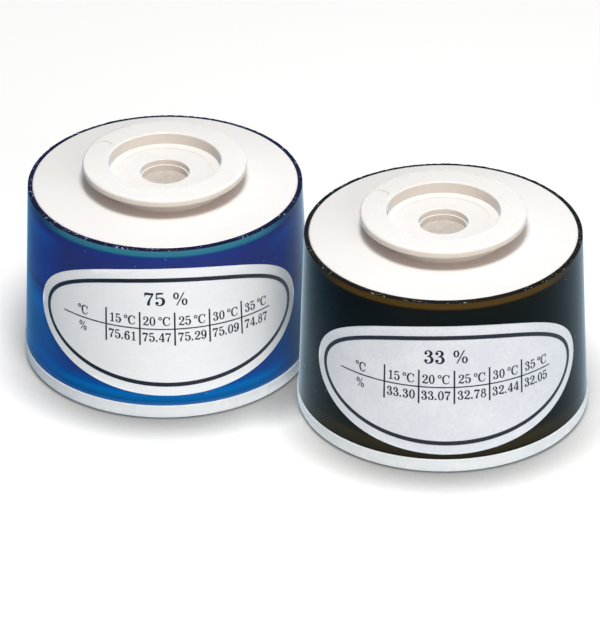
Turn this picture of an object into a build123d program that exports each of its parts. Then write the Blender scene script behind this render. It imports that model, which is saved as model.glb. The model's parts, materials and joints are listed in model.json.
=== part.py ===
from build123d import *
import math
import os

# A pair of humidity reference jars, each a tapered jacket closed by a white deck and a milky base plate.
# A flanged collar plugs into the deck: a sensor head stands in its recess, over a membrane that lets the
# vapour of the damp salt through. Millimetres, +Z up. The origin is on the table, midway between the jars.

# The pair on the table
jar_gap = 0.7  # between the two base plates
row_turn = 20.8  # degrees by which the row of jars is turned from the X axis, blue jar to the back

# Jacket
jacket_foot_radius = 23.7
jacket_taper = 1.1  # how much narrower the rim is than the foot
jacket_height = 28.7
jacket_wall = 0.95
rim_wall = 0.75  # where the deck is let in
rim_edge_break = 0.12
ledge_width = 1.1
ledge_thickness = 1.0

# Base plate
base_lip = 0.2  # how far the band stands out from the jacket
base_band_height = 2.65
base_edge_round = 1.1
foot_ring_width = 2.2
foot_recess_depth = 0.9
gate_dimple_radius = 1.6
gate_dimple_depth = 0.3
spigot_height = 3.0
spigot_wall = 2.4
spigot_fit = 0.05

# Deck
deck_thickness = 1.45
deck_proud = 0.1  # above the rim
deck_fit = 0.03
deck_edge_break = 0.15
skirt_depth = 3.0
skirt_wall = 1.0
skirt_fit = 0.1
boss_wall = 1.3
boss_depth = 6.0
boss_lead_in = 0.2
rib_count = 6
rib_thickness = 0.9
rib_height = 2.2

# Collar
recess_radius = 9.2
recess_depth = 2.04
recess_edge_round = 0.3
floor_step_width = 1.5  # rim of the recess floor that lies a little higher than the rest
floor_step_height = 0.08
sensing_radius = 4.04
sensing_depth = 2.1  # recess floor to membrane
sensing_step = 0.22  # lower half of the centre hole is narrower by this
neck_wall = 1.2
finger_gap = 2.71  # deck to the flange's underside
flange_reach = 3.15  # beyond the neck
flange_thickness = 1.22
flange_top_round = 0.45
flange_foot_round = 0.2
collar_floor = 1.2
shoulder_width = 0.8  # the neck rests on the deck with it
shank_depth = 5.4
shank_fit = 0.06
shank_lead_in = 0.5

# Moulding marks on the flange, one deep and three faint
mark_radius = 1.45
mark_turn = 153.0  # degrees from +X to the deep one
mark_depths = [0.14, 0.04, 0.04, 0.04]

# Membrane and the ring that holds it
membrane_lap = 1.4  # beyond the centre hole
membrane_thickness = 0.25
membrane_fit = 0.06
pocket_wall = 1.0
retainer_width = 1.2
retainer_thickness = 1.2
retainer_fit = 0.03
retainer_lead_in = 0.25

# Seals
collar_ring_section = 1.0
collar_ring_depth = 3.4  # deck top to the ring's middle
base_ring_section = 1.2
seal_corner = 0.2
ring_wall_gap = 0.03  # ring to the wall that it seals on
groove_floor_gap = 0.02
groove_side_gap = 0.25
groove_backing = 0.9  # plastic behind the collar's groove
deck_seal_thickness = 0.4
deck_seal_fit = 0.1

# Salt pot and salt
pot_fit = 0.15  # in the well of the base plate
pot_wall = 0.9
pot_floor = 1.0
pot_flare = 0.35  # how much wider the pot is at its rim
pot_top_gap = 0.1
salt_depth = 14.2
salt_dish = 0.6  # how much lower the bed lies in its middle
salt_fit = 0.03

# Label, an oval bent round the jacket
label_half_width = 25.2  # along the jacket
label_half_height = 11.75
label_thickness = 0.12
label_bond = 0.01
label_quarter_steps = 6

# The two jars: which side of the origin, the height of the label's middle, and its turn to the right
jars = {
    "blue": {"side": -1, "label_height": 16.3, "label_turn": 2.4},
    "black": {"side": 1, "label_height": 15.35, "label_turn": 1.4},
}

# Heights that follow, from the table up
spigot_top = base_band_height + spigot_height
base_ring_height = base_band_height + spigot_height / 2
rim_height = base_band_height + jacket_height
deck_top = rim_height + deck_proud
deck_bottom = deck_top - deck_thickness
ledge_top = deck_bottom - deck_seal_thickness
skirt_bottom = deck_bottom - skirt_depth
boss_bottom = deck_top - boss_depth
shank_bottom = deck_top - shank_depth
collar_ring_height = deck_top - collar_ring_depth
flange_bottom = deck_top + finger_gap
flange_top = flange_bottom + flange_thickness
recess_floor = flange_top - recess_depth
membrane_top = recess_floor - sensing_depth
membrane_bottom = membrane_top - membrane_thickness
retainer_bottom = membrane_bottom - retainer_thickness
pot_floor_top = base_band_height + pot_floor
pot_top = skirt_bottom - pot_top_gap
salt_top = pot_floor_top + salt_depth


def jacket_outside(height):
    """Radius of the jacket's tapered outside at a height above the table."""
    share = (height - base_band_height) / jacket_height
    return jacket_foot_radius - share * jacket_taper


def jacket_inside(height):
    return jacket_outside(height) - jacket_wall


# Radii that follow
base_radius = jacket_foot_radius + base_lip
jacket_rim_radius = jacket_foot_radius - jacket_taper
deck_seat_radius = jacket_rim_radius - rim_wall
deck_radius = deck_seat_radius - deck_fit
ledge_radius = deck_seat_radius - ledge_width
skirt_radius = ledge_radius - skirt_fit
skirt_hollow_radius = skirt_radius - skirt_wall
neck_radius = recess_radius + neck_wall
flange_radius = neck_radius + flange_reach
shank_radius = neck_radius - shoulder_width
boss_bore_radius = shank_radius + shank_fit
boss_radius = boss_bore_radius + boss_wall
collar_ring_radius = boss_bore_radius - ring_wall_gap
collar_groove_radius = collar_ring_radius - collar_ring_section - groove_floor_gap
shank_hollow_radius = collar_groove_radius - groove_backing
membrane_radius = sensing_radius + membrane_lap
pocket_radius = membrane_radius + membrane_fit
mark_circle_radius = (recess_radius + flange_radius) / 2
base_ring_radius = jacket_inside(base_ring_height + base_ring_section / 2) - ring_wall_gap
base_groove_radius = base_ring_radius - base_ring_section - groove_floor_gap
well_radius = jacket_inside(spigot_top) - spigot_fit - spigot_wall
pot_foot_radius = well_radius - pot_fit


def pot_outside(height):
    """Radius of the pot's flared outside at a height above the table."""
    share = (height - base_band_height) / (pot_top - base_band_height)
    return pot_foot_radius + share * pot_flare


def turned(outline):
    """Solid turned about the jar's axis from a closed outline of (radius, height) points."""
    points = [(radius, 0, height) for radius, height in outline]
    return revolve(make_face(Polyline(*points, close=True)), Axis.Z)


def disc(radius, low, high):
    return turned([(0, low), (radius, low), (radius, high), (0, high)])


def ring(outer, inner, low, high):
    return turned([(inner, low), (outer, low), (outer, high), (inner, high)])


def groove(outer, inner, height, section):
    """Ring-shaped cut for a sealing ring of this section, centred on a height."""
    half_width = section / 2 + groove_side_gap
    return ring(outer, inner, height - half_width, height + half_width)


def sealing_ring(outer, height, section):
    """Square-cut ring with its corners taken off, its middle at a height."""
    inner = outer - section
    low = height - section / 2
    high = height + section / 2
    return turned([
        (inner, low + seal_corner),
        (inner + seal_corner, low),
        (outer - seal_corner, low),
        (outer, low + seal_corner),
        (outer, high - seal_corner),
        (outer - seal_corner, high),
        (inner + seal_corner, high),
        (inner, high - seal_corner),
    ])


def rounded(solid, radius, height, size):
    """The solid with the round edge of this radius at this height rounded off."""
    circles = solid.edges().filter_by(GeomType.CIRCLE)
    chosen = circles.filter_by(
        lambda edge: abs(edge.radius - radius) < 1e-3 and abs(edge.arc_center.Z - height) < 1e-3
    )
    return fillet(chosen, size)


def make_base_plate():
    """Foot ring under a recess, milky band outside, and a grooved spigot that the jacket sits over."""
    recess_radius_low = base_radius - base_edge_round - foot_ring_width
    plate = turned([
        (0, foot_recess_depth),
        (recess_radius_low - foot_recess_depth, foot_recess_depth),
        (recess_radius_low, 0),
        (base_radius, 0),
        (base_radius, base_band_height),
        (jacket_inside(base_band_height) - spigot_fit, base_band_height),
        (jacket_inside(spigot_top) - spigot_fit, spigot_top),
        (well_radius, spigot_top),
        (well_radius, base_band_height),
        (0, base_band_height),
    ])
    plate = rounded(plate, base_radius, 0, base_edge_round)
    plate -= groove(base_radius, base_groove_radius, base_ring_height, base_ring_section)
    plate -= disc(gate_dimple_radius, 0, foot_recess_depth + gate_dimple_depth)
    return plate


def make_jacket():
    """Tapered tube with a seat for the deck at the rim and a ledge under the seat."""
    ledge_bottom = ledge_top - ledge_thickness
    slope_bottom = ledge_bottom - (jacket_inside(ledge_bottom) - ledge_radius)
    return turned([
        (jacket_inside(base_band_height), base_band_height),
        (jacket_foot_radius, base_band_height),
        (jacket_outside(rim_height - rim_edge_break), rim_height - rim_edge_break),
        (jacket_rim_radius - rim_edge_break, rim_height),
        (deck_seat_radius, rim_height),
        (deck_seat_radius, ledge_top),
        (ledge_radius, ledge_top),
        (ledge_radius, ledge_bottom),
        (jacket_inside(slope_bottom), slope_bottom),
    ])


def make_deck_seal():
    return ring(deck_seat_radius - deck_seal_fit, ledge_radius + deck_seal_fit, ledge_top, deck_bottom)


def make_top_deck():
    """Disc let into the rim, with a skirt in the ledge, a boss for the collar and ribs between them."""
    deck = turned([
        (boss_bore_radius, boss_bottom),
        (boss_radius, boss_bottom),
        (boss_radius, deck_bottom),
        (skirt_hollow_radius, deck_bottom),
        (skirt_hollow_radius, skirt_bottom),
        (skirt_radius, skirt_bottom),
        (skirt_radius, deck_bottom),
        (deck_radius, deck_bottom),
        (deck_radius, deck_top - deck_edge_break),
        (deck_radius - deck_edge_break, deck_top),
        (boss_bore_radius + boss_lead_in, deck_top),
        (boss_bore_radius, deck_top - boss_lead_in),
    ])
    rib_start = boss_radius - boss_wall / 2
    rib_end = skirt_hollow_radius + skirt_wall / 2
    rib = Box(rib_end - rib_start, rib_thickness, rib_height)
    for place in PolarLocations((rib_start + rib_end) / 2, rib_count):
        deck += place * Pos(0, 0, deck_bottom - rib_height / 2) * rib
    return deck


def make_probe_collar():
    """Plug with a finger flange, a recess for a sensor head and a centre hole over the membrane's pocket."""
    floor_bottom = recess_floor - collar_floor
    inner_floor = recess_floor - floor_step_height
    hole_step = recess_floor - sensing_depth / 2
    pocket_outside = pocket_radius + pocket_wall
    collar = turned([
        (shank_hollow_radius, shank_bottom),
        (shank_radius - shank_lead_in, shank_bottom),
        (shank_radius, shank_bottom + shank_lead_in),
        (shank_radius, deck_top),
        (neck_radius, deck_top),
        (neck_radius, flange_bottom),
        (flange_radius, flange_bottom),
        (flange_radius, flange_top),
        (recess_radius, flange_top),
        (recess_radius, recess_floor),
        (recess_radius - floor_step_width, recess_floor),
        (recess_radius - floor_step_width, inner_floor),
        (sensing_radius, inner_floor),
        (sensing_radius, hole_step),
        (sensing_radius - sensing_step, hole_step),
        (sensing_radius - sensing_step, membrane_top),
        (pocket_radius, membrane_top),
        (pocket_radius, retainer_bottom),
        (pocket_outside, retainer_bottom),
        (pocket_outside, floor_bottom),
        (shank_hollow_radius, floor_bottom),
    ])
    collar = rounded(collar, flange_radius, flange_top, flange_top_round)
    collar = rounded(collar, flange_radius, flange_bottom, flange_foot_round)
    collar = rounded(collar, recess_radius, flange_top, recess_edge_round)
    collar -= groove(shank_radius + shank_fit, collar_groove_radius, collar_ring_height, collar_ring_section)
    for number, depth in enumerate(mark_depths):
        turn = mark_turn + number * 360 / len(mark_depths)
        mark = Pos(mark_circle_radius, 0, flange_top) * Cylinder(mark_radius, 2 * depth)
        collar -= Rot(0, 0, turn) * mark
    return collar


def make_vapour_membrane():
    return disc(membrane_radius, membrane_bottom, membrane_top)


def make_membrane_retainer():
    outer = pocket_radius - retainer_fit
    return turned([
        (outer - retainer_width, retainer_bottom),
        (outer - retainer_lead_in, retainer_bottom),
        (outer, retainer_bottom + retainer_lead_in),
        (outer, membrane_bottom),
        (outer - retainer_width, membrane_bottom),
    ])


def make_salt_pot():
    """Open pot that stands in the well of the base plate and reaches up to the deck's skirt."""
    return turned([
        (0, base_band_height),
        (pot_foot_radius, base_band_height),
        (pot_outside(pot_top), pot_top),
        (pot_outside(pot_top) - pot_wall, pot_top),
        (pot_outside(pot_floor_top) - pot_wall, pot_floor_top),
        (0, pot_floor_top),
    ])


def make_salt_bed():
    """Damp salt with a dished top."""
    low_radius = pot_outside(pot_floor_top) - pot_wall - salt_fit
    high_radius = pot_outside(salt_top) - pot_wall - salt_fit
    dish_bottom = salt_top - salt_dish
    walls = Polyline(
        (0, 0, dish_bottom),
        (0, 0, pot_floor_top),
        (low_radius, 0, pot_floor_top),
        (high_radius, 0, salt_top),
    )
    # The dish is part of a sphere, so its arc starts level at the axis
    dish = TangentArc((0, 0, dish_bottom), (high_radius, 0, salt_top), tangent=(1, 0, 0))
    return revolve(make_face([walls, dish]), Axis.Z)


def bent_oval_point(angle, bend_radius, label_height):
    """Point of the oval's edge as it is seen from the front once the label is bent to this radius."""
    along = label_half_width * math.cos(angle)
    return (
        bend_radius * math.sin(along / bend_radius),
        0,
        label_height + label_half_height * math.sin(angle),
    )


def make_label(label_height, label_turn):
    """Thin oval sticker that follows the jacket's taper."""
    bend_radius = jacket_outside(label_height)
    outline = []
    for quarter in range(4):
        steps = [quarter + step / label_quarter_steps for step in range(label_quarter_steps + 1)]
        angles = [step * math.pi / 2 for step in steps]
        points = [bent_oval_point(angle, bend_radius, label_height) for angle in angles]
        ends = [(-math.sin(angle), 0, math.cos(angle)) for angle in (angles[0], angles[-1])]
        outline.append(Spline(*points, tangents=ends))
    oval = make_face(outline)
    stamp = extrude(oval, amount=2 * bend_radius, dir=(0, -1, 0))
    skin = turned([
        (jacket_foot_radius + label_bond, base_band_height),
        (jacket_foot_radius + label_bond + label_thickness, base_band_height),
        (jacket_rim_radius + label_bond + label_thickness, rim_height),
        (jacket_rim_radius + label_bond, rim_height),
    ])
    return Rot(0, 0, label_turn) * (skin & stamp)


def make_jar(label_height, label_turn):
    """Every piece of one jar, about its own axis."""
    return {
        "base_plate": make_base_plate(),
        "base_seal": sealing_ring(base_ring_radius, base_ring_height, base_ring_section),
        "jacket": make_jacket(),
        "deck_seal": make_deck_seal(),
        "top_deck": make_top_deck(),
        "probe_collar": make_probe_collar(),
        "collar_seal": sealing_ring(collar_ring_radius, collar_ring_height, collar_ring_section),
        "vapour_membrane": make_vapour_membrane(),
        "membrane_retainer": make_membrane_retainer(),
        "salt_pot": make_salt_pot(),
        "salt_bed": make_salt_bed(),
        "label": make_label(label_height, label_turn),
    }


os.makedirs("parts", exist_ok=True)
half_spacing = base_radius + jar_gap / 2
for colour, jar in jars.items():
    axis_x = jar["side"] * half_spacing * math.cos(math.radians(row_turn))
    axis_y = -jar["side"] * half_spacing * math.sin(math.radians(row_turn))
    for name, solid in make_jar(jar["label_height"], jar["label_turn"]).items():
        export_step(Pos(axis_x, axis_y, 0) * solid, f"parts/{colour}_{name}.step")
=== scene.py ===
import json
import math
import bpy
from mathutils import Matrix, Vector

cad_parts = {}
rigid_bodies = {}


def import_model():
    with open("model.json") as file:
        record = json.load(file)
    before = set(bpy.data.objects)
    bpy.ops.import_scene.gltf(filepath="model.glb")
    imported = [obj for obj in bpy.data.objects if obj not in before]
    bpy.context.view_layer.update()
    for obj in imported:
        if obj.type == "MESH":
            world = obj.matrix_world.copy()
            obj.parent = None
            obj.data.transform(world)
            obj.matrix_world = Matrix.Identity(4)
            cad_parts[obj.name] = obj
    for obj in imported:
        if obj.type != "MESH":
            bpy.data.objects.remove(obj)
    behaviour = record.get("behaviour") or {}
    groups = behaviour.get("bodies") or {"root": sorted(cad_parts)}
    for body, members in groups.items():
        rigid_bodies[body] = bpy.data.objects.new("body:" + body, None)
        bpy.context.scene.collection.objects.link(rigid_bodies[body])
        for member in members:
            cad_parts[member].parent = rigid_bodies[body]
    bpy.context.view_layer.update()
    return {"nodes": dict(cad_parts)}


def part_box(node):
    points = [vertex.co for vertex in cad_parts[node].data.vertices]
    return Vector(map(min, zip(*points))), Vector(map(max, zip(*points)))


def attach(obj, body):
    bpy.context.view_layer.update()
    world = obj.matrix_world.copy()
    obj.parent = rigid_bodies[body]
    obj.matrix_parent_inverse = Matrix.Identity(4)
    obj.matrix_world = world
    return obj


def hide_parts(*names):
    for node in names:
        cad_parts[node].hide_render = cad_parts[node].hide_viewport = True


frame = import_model()

mm = 0.001
jars = ("black", "blue")
print("frame loaded:", len(frame["nodes"]), "nodes")


def paint(red, green, blue):  # a screen colour, 0 to 255, as the linear colour that a socket takes
    def linear(value):
        value = value / 255
        return value / 12.92 if value < 0.04045 else ((value + 0.055) / 1.055) ** 2.4
    return (linear(red), linear(green), linear(blue), 1.0)


def jarAxis(jar):  # the middle of a jar's foot on the table
    low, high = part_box(jar + "_base_plate")
    return Vector(((low.x + high.x) / 2, (low.y + high.y) / 2, 0))


# Camera, at the photograph's angle; the last setting is where the black jar's foot lies in its view
cameraSettings = {
    "elevation": math.radians(30.83),
    "roll": -0.0085,
    "lens": 349.8,
    "clipStart": 0.05,
    "blackFootSeenFrom": Vector((23.45 * mm, -13.8 * mm, -1.0)),
}

turn = Matrix.Rotation(math.pi / 2 - cameraSettings["elevation"], 4, "X")
turn = turn @ Matrix.Rotation(cameraSettings["roll"], 4, "Z")
place = jarAxis("black") - turn @ cameraSettings["blackFootSeenFrom"]
bpy.ops.object.camera_add(location=place, rotation=turn.to_euler())
camera = bpy.context.object
camera.name = "photoCamera"
camera.data.lens = cameraSettings["lens"]
camera.data.clip_start = cameraSettings["clipStart"]
bpy.context.scene.camera = camera
bpy.context.scene.view_settings.view_transform = "Standard"
print("camera placed")


# Mesh helpers

def pickNothing():
    if bpy.context.object and bpy.context.object.mode != "OBJECT":
        bpy.ops.object.mode_set(mode="OBJECT")
    bpy.ops.object.select_all(action="DESELECT")


def pickOnly(piece):
    pickNothing()
    piece.select_set(True)
    bpy.context.view_layer.objects.active = piece


def turnOutline(name, axis, outline, sides):  # a circle, extruded and resized along the outline
    pickNothing()
    radius, height = outline[0]
    bpy.ops.mesh.primitive_circle_add(
        vertices=sides, radius=radius, fill_type="NOTHING", location=(axis.x, axis.y, height))
    piece = bpy.context.object
    piece.name = name
    bpy.ops.object.transform_apply()
    bpy.ops.object.mode_set(mode="EDIT")
    for nextRadius, nextHeight in outline[1:]:
        rise = (0, 0, nextHeight - height)
        bpy.ops.mesh.extrude_region_move(TRANSFORM_OT_translate={"value": rise})
        scale = nextRadius / radius
        bpy.ops.transform.resize(value=(scale, scale, 1), center_override=(axis.x, axis.y, nextHeight))
        radius, height = nextRadius, nextHeight
    return piece


def closeOutline():  # the last ring of an outline lies on the first one
    bpy.ops.mesh.select_all(action="SELECT")
    bpy.ops.mesh.remove_doubles(threshold=0.002 * mm)
    bpy.ops.mesh.normals_make_consistent(inside=False)
    bpy.ops.object.mode_set(mode="OBJECT")


def pickRingEdges(piece, axis, radius, height):
    pickOnly(piece)
    bpy.ops.object.mode_set(mode="EDIT")
    bpy.ops.mesh.select_mode(type="EDGE")
    bpy.ops.mesh.select_all(action="DESELECT")
    bpy.ops.object.mode_set(mode="OBJECT")
    near = 0.01 * mm
    onRing = [
        abs(math.hypot(corner.co.x - axis.x, corner.co.y - axis.y) - radius) < near
        and abs(corner.co.z - height) < near
        for corner in piece.data.vertices
    ]
    for edge in piece.data.edges:
        edge.select = onRing[edge.vertices[0]] and onRing[edge.vertices[1]]
    bpy.ops.object.mode_set(mode="EDIT")


def roundRing(piece, axis, radius, height, width, segments):  # rounds one turned corner
    pickRingEdges(piece, axis, radius, height)
    bpy.ops.mesh.bevel(offset=width, segments=segments, profile=0.5, affect="EDGES")
    bpy.ops.object.mode_set(mode="OBJECT")


def smooth(piece, angle=32):
    pickOnly(piece)
    bpy.ops.object.shade_smooth_by_angle(angle=math.radians(angle))
    evener = piece.modifiers.new("evenNormals", "WEIGHTED_NORMAL")
    evener.keep_sharp = True
    bpy.ops.object.modifier_apply(modifier=evener.name)


# Material helpers

def newMaterial(name):
    material = bpy.data.materials.new(name)
    material.use_nodes = True
    nodes = material.node_tree.nodes
    place = nodes.new("ShaderNodeTexCoord").outputs["Object"]
    return material, nodes, material.node_tree.links, nodes["Principled BSDF"], place


def newGroup(name, inputs, outputs):
    group = bpy.data.node_groups.new(name, "ShaderNodeTree")
    for socketName, kind, value in inputs:
        socket = group.interface.new_socket(name=socketName, in_out="INPUT", socket_type=kind)
        if value is not None:
            socket.default_value = value
    for socketName, kind in outputs:
        group.interface.new_socket(name=socketName, in_out="OUTPUT", socket_type=kind)
    start = group.nodes.new("NodeGroupInput")
    end = group.nodes.new("NodeGroupOutput")
    return group, group.nodes, group.links, start, end


def setInputs(node, values):
    for name, value in values.items():
        node.inputs[name].default_value = value


def useGroup(nodes, links, group, place, **values):
    node = nodes.new("ShaderNodeGroup")
    node.node_tree = group
    links.new(place, node.inputs["Vector"])
    setInputs(node, values)
    return node


def mathNode(nodes, links, operation, first, second=None):
    node = nodes.new("ShaderNodeMath")
    node.operation = operation
    for socket, value in zip(node.inputs, (first, second)):
        if value is None:
            continue
        if isinstance(value, (int, float)):
            socket.default_value = value
        else:
            links.new(value, socket)
    return node.outputs[0]


def mixColours(nodes, links, factor, first, second, blend="MIX"):
    node = nodes.new("ShaderNodeMix")
    node.data_type = "RGBA"
    node.blend_type = blend
    for socket, value in ((node.inputs[0], factor), (node.inputs[6], first), (node.inputs[7], second)):
        if isinstance(value, (int, float, tuple)):
            socket.default_value = value
        else:
            links.new(value, socket)
    return node.outputs[2]


def stretchRamp(nodes, links, value, low, high, toLow=0.0, toHigh=1.0, soft=False):
    node = nodes.new("ShaderNodeMapRange")
    node.interpolation_type = "SMOOTHSTEP" if soft else "LINEAR"
    links.new(value, node.inputs["Value"])
    setInputs(node, {"From Min": low, "From Max": high, "To Min": toLow, "To Max": toHigh})
    return node.outputs["Result"]


def addNoise(nodes, links, place, scale, detail=2.0):
    node = nodes.new("ShaderNodeTexNoise")
    setInputs(node, {"Scale": scale, "Detail": detail})
    links.new(place, node.inputs["Vector"])
    return node.outputs["Fac"]


def splitVector(nodes, links, vector):
    node = nodes.new("ShaderNodeSeparateXYZ")
    links.new(vector, node.inputs[0])
    return node.outputs


def addBump(nodes, links, shader, height, distance):
    bump = nodes.new("ShaderNodeBump")
    bump.inputs["Distance"].default_value = distance
    links.new(height, bump.inputs["Height"])
    links.new(bump.outputs["Normal"], shader.inputs["Normal"])


# Shared effects

def makeDustGroup():  # small specks, one in some of the cells of a cell pattern
    group, nodes, links, start, end = newGroup(
        "dustSpecks",
        [("Vector", "NodeSocketVector", None), ("Cells", "NodeSocketFloat", 800.0),
         ("Size", "NodeSocketFloat", 0.1), ("Share", "NodeSocketFloat", 0.3)],
        [("Mask", "NodeSocketFloat")])
    cells = nodes.new("ShaderNodeTexVoronoi")
    links.new(start.outputs["Vector"], cells.inputs["Vector"])
    links.new(start.outputs["Cells"], cells.inputs["Scale"])
    near = mathNode(nodes, links, "LESS_THAN", cells.outputs["Distance"], start.outputs["Size"])
    split = nodes.new("ShaderNodeSeparateColor")
    links.new(cells.outputs["Color"], split.inputs["Color"])
    chosen = mathNode(nodes, links, "LESS_THAN", split.outputs[0], start.outputs["Share"])
    links.new(mathNode(nodes, links, "MULTIPLY", near, chosen), end.inputs["Mask"])
    return group


def makeHandlingGroup():  # cloudy wear and fine hairline marks, for roughness and bump
    group, nodes, links, start, end = newGroup(
        "handling",
        [("Vector", "NodeSocketVector", None), ("Clouds", "NodeSocketFloat", 90.0),
         ("Hairs", "NodeSocketFloat", 700.0), ("Roughness", "NodeSocketFloat", 0.2),
         ("Change", "NodeSocketFloat", 0.08)],
        [("Roughness", "NodeSocketFloat"), ("Height", "NodeSocketFloat")])
    clouds = nodes.new("ShaderNodeTexNoise")
    clouds.inputs["Detail"].default_value = 4
    links.new(start.outputs["Vector"], clouds.inputs["Vector"])
    links.new(start.outputs["Clouds"], clouds.inputs["Scale"])
    stretch = nodes.new("ShaderNodeMapping")
    setInputs(stretch, {"Scale": (1.0, 1.0, 0.06), "Rotation": (0.5, 0.3, 0.0)})
    links.new(start.outputs["Vector"], stretch.inputs["Vector"])
    hairs = nodes.new("ShaderNodeTexNoise")
    hairs.inputs["Detail"].default_value = 2
    links.new(stretch.outputs[0], hairs.inputs["Vector"])
    links.new(start.outputs["Hairs"], hairs.inputs["Scale"])
    hair = stretchRamp(nodes, links, hairs.outputs["Fac"], 0.66, 0.74)
    cloud = stretchRamp(nodes, links, clouds.outputs["Fac"], 0.35, 0.7, -1.0, 1.0)
    both = mathNode(nodes, links, "ADD", cloud, hair)
    change = mathNode(nodes, links, "MULTIPLY", both, start.outputs["Change"])
    links.new(mathNode(nodes, links, "ADD", start.outputs["Roughness"], change), end.inputs["Roughness"])
    links.new(mathNode(nodes, links, "SUBTRACT", clouds.outputs["Fac"], hair), end.inputs["Height"])
    return group


dust = makeDustGroup()
handling = makeHandlingGroup()
print("shared effects made")


# Jackets: tapered tubes of coloured plastic, sawn off at the rim

jacketSettings = {
    "sides": 720,
    "taper": 1.1 * mm,
    "wall": 0.95 * mm,
    "rimWall": 0.75 * mm,
    "edgeBreak": 0.12 * mm,
    "ledgeWidth": 1.1 * mm,
    "ledgeThickness": 1.0 * mm,
    "sealThickness": 0.4 * mm,
    "sawnDepth": 0.5 * mm,  # how far down the saw's tearing reaches
    "sawnRows": (0.36 * mm, 0.24 * mm),  # rows of points between there and the rim's edge
    "rimRows": (0.2 * mm, 0.4 * mm),  # and across the rim's top, inwards from its edge
    "seatMargin": 0.05 * mm,  # the tearing stops short of the deck's seat
    "tearing": (  # noise that moves the rim: its grain, how far it moves it, and which way
        ("torn", 0.35 * mm, 0.1 * mm, "Z"),
        ("wavy", 1.4 * mm, 0.06 * mm, "NORMAL"),
    ),
    "tearingContrast": 2.0,
    "tearingLevel": 0.65,  # the noise that moves nothing; most of it is lower, and cuts in
}


def makeJacket(jar):
    use = jacketSettings
    axis = jarAxis(jar)
    low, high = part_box(jar + "_jacket")
    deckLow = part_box(jar + "_top_deck")[1].z - deckSettings["thickness"]
    footRadius = (high.x - low.x) / 2
    rimRadius = footRadius - use["taper"]
    seatRadius = rimRadius - use["rimWall"]
    ledgeRadius = seatRadius - use["ledgeWidth"]
    ledgeTop = deckLow - use["sealThickness"]
    ledgeLow = ledgeTop - use["ledgeThickness"]

    def outside(height):
        return footRadius - use["taper"] * (height - low.z) / (high.z - low.z)

    slopeLow = ledgeLow - (outside(ledgeLow) - use["wall"] - ledgeRadius)
    rimStart = outside(high.z - use["edgeBreak"]) - use["edgeBreak"]
    rows = [high.z - depth for depth in (use["sawnDepth"], *use["sawnRows"], use["edgeBreak"])]
    outline = [
        (footRadius - use["wall"], low.z),
        (footRadius, low.z),
        *[(outside(row), row) for row in rows],
        (rimStart, high.z),
        *[(rimStart - step, high.z) for step in use["rimRows"]],
        (seatRadius, high.z),
        (seatRadius, ledgeTop),
        (ledgeRadius, ledgeTop),
        (ledgeRadius, ledgeLow),
        (outside(slopeLow) - use["wall"], slopeLow),
        (footRadius - use["wall"], low.z),
    ]
    jacket = turnOutline(jar + "JacketShell", axis, outline, use["sides"])
    closeOutline()

    rim = jacket.vertex_groups.new(name="sawnRim")
    for corner in jacket.data.vertices:
        fromAxis = math.hypot(corner.co.x - axis.x, corner.co.y - axis.y)
        depth = high.z - corner.co.z
        if fromAxis > seatRadius + use["seatMargin"] and depth < use["sawnDepth"] * 0.9:
            rim.add([corner.index], 1 - depth / use["sawnDepth"], "REPLACE")
    for name, grain, strength, direction in use["tearing"]:
        texture = bpy.data.textures.new(jar + name, type="CLOUDS")
        texture.noise_scale = grain
        texture.noise_depth = 3
        texture.contrast = use["tearingContrast"]
        roughen = jacket.modifiers.new(name, "DISPLACE")
        roughen.texture = texture
        roughen.texture_coords = "LOCAL"
        roughen.direction = direction
        roughen.vertex_group = rim.name
        roughen.mid_level = use["tearingLevel"]
        roughen.strength = strength
        pickOnly(jacket)
        bpy.ops.object.modifier_apply(modifier=roughen.name)
    smooth(jacket, 40)
    return jacket


# From the foot up: height in mm above the table, and the colour that shows there: the jacket's dye, with
# a painted glow under the rim and near the foot, where the white deck and the base's spigot show through
# the wall
dyeAndGlowBands = {
    "blue": [
        (2.65, (60, 110, 170)), (3.3, (4, 90, 156)), (4.5, (0, 110, 188)), (5.2, (2, 88, 172)),
        (6.2, (34, 72, 150)), (14.0, (38, 68, 144)), (18.0, (44, 62, 138)), (27.5, (44, 55, 124)),
        (29.85, (38, 56, 132)), (30.05, (24, 84, 136)), (30.25, (48, 122, 146)), (31.1, (62, 130, 150)),
    ],
    "black": [
        (2.65, (30, 26, 18)), (3.4, (46, 40, 24)), (4.6, (52, 46, 28)), (5.6, (30, 32, 24)),
        (7.0, (20, 26, 26)), (16.0, (12, 19, 19)), (27.5, (12, 18, 18)), (29.85, (16, 18, 16)),
        (30.05, (58, 42, 12)), (30.25, (82, 62, 20)), (31.0, (80, 60, 20)), (31.1, (74, 56, 20)),
    ],
}
sideDyeAndLightBands = {  # painted light: further round the sides the jackets are painted lighter, as they read there under the light, and the salt shows faintly through blue, up to 18 mm
    "black": [
        (2.65, (30, 26, 18)), (3.4, (40, 36, 24)), (4.6, (42, 38, 26)), (5.6, (26, 29, 24)),
        (7.0, (22, 29, 32)), (16.0, (22, 30, 33)), (27.5, (22, 30, 33)), (29.9, (20, 24, 24)),
        (30.1, (34, 26, 12)), (31.1, (40, 30, 12)),
    ],
    "blue": [
        (2.65, (60, 110, 178)), (4.0, (22, 90, 176)), (5.2, (12, 104, 198)), (7.0, (22, 96, 182)),
        (12.0, (22, 98, 180)), (14.5, (2, 112, 210)), (16.5, (14, 92, 190)), (18.2, (38, 54, 128)),
        (19.4, (38, 66, 166)), (25.0, (30, 66, 172)), (28.3, (12, 84, 190)), (29.6, (38, 40, 146)),
        (30.2, (24, 50, 118)), (31.1, (20, 60, 110)),
    ],
}
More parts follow.
